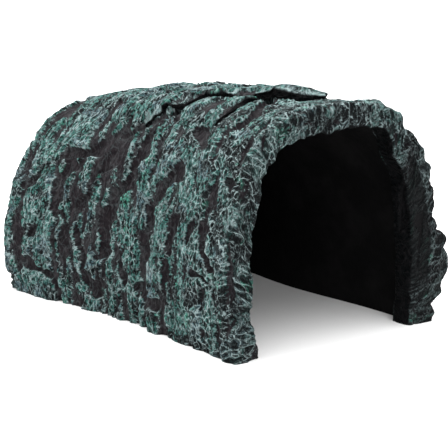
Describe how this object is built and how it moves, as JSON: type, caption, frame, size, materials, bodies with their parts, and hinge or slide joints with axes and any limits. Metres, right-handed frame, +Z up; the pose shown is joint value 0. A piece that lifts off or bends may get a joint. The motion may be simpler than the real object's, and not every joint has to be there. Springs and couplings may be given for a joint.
{
  "type": "resin cave ornament",
  "caption": "Arched rock cave hide for an aquarium or vivarium, open at the mouth and underneath, with a thick ragged rim, a closed back and layered slabs on the roof.",
  "frame": {"origin": "middle of the footprint's bounding box, on the ground", "axes": "+Z up, +Y from the mouth towards the closed back, +X to the right of someone who looks into the mouth"},
  "size_m": [0.1702, 0.2272, 0.1425],
  "materials": {
    "painted_rock": "cast resin painted near-black purple brown, dry-brushed teal green with pale grey-green crests; smooth black inside",
    "rim_rock": "cast resin painted charcoal with pitted teal and pale grey dry-brushing, darker on its front face"
  },
  "bodies": {
    "root": {"cave_shell": "painted_rock", "mouth_rim": "rim_rock", "rear_wall": "painted_rock", "crown_slab": "painted_rock", "shoulder_slab": "painted_rock"}
  },
  "joints": []
}
